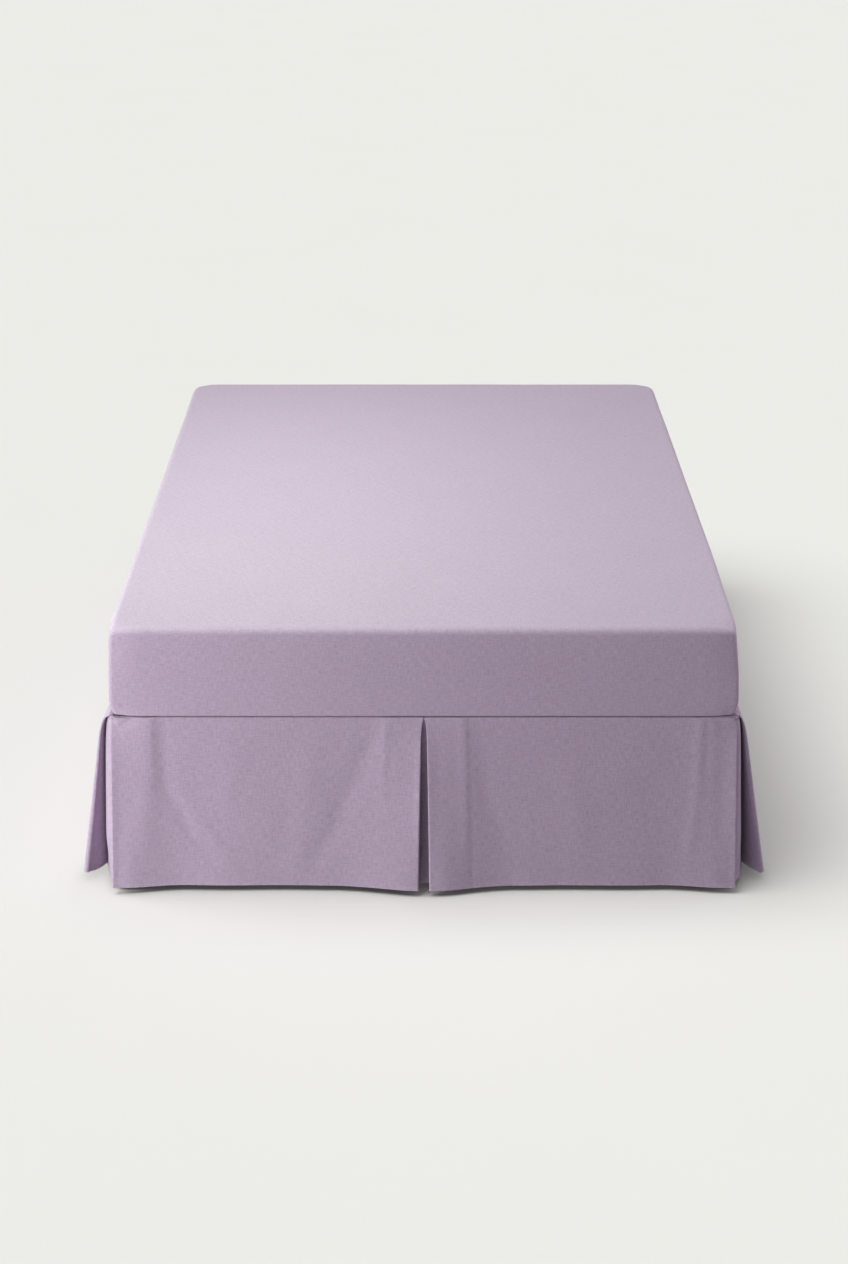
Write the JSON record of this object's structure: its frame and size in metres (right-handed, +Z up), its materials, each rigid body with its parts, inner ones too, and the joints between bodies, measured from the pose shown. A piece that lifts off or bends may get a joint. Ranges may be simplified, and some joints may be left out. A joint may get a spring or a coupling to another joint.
{
  "type": "bed skirt on a mattress and base",
  "caption": "Tailored bed skirt with inverted pleats at its foot corners and mid-sides, hanging from a deck cloth held between a covered mattress and a plain upholstered base on low feet.",
  "frame": {"origin": "on the floor, under the middle of the whole object's box", "axes": "+X across the bed, to the right seen from the foot; +Y from the foot to the head; +Z up"},
  "size_m": [1.5749, 1.9764, 0.6463],
  "materials": {
    "cover_cloth": "matte fine plain weave, pale lilac",
    "skirt_cloth": "matte linen-like plain weave, dusty lilac",
    "deck_cloth": "matte plain cotton, off-white",
    "base_cloth": "matte woven upholstery, warm grey",
    "foot_plastic": "matte black moulding"
  },
  "bodies": {
    "root": {"mattress": "cover_cloth", "skirt_deck": "deck_cloth", "drop_foot_left": "skirt_cloth", "drop_foot_right": "skirt_cloth", "drop_left_front": "skirt_cloth", "drop_left_back": "skirt_cloth", "drop_right_front": "skirt_cloth", "drop_right_back": "skirt_cloth", "underlay_foot": "skirt_cloth", "underlay_left": "skirt_cloth", "underlay_right": "skirt_cloth", "underlay_corner_left": "skirt_cloth", "underlay_corner_right": "skirt_cloth", "bed_base": "base_cloth", "base_foot_1": "foot_plastic", "base_foot_2": "foot_plastic", "base_foot_3": "foot_plastic", "base_foot_4": "foot_plastic", "base_foot_5": "foot_plastic", "base_foot_6": "foot_plastic"}
  },
  "joints": []
}
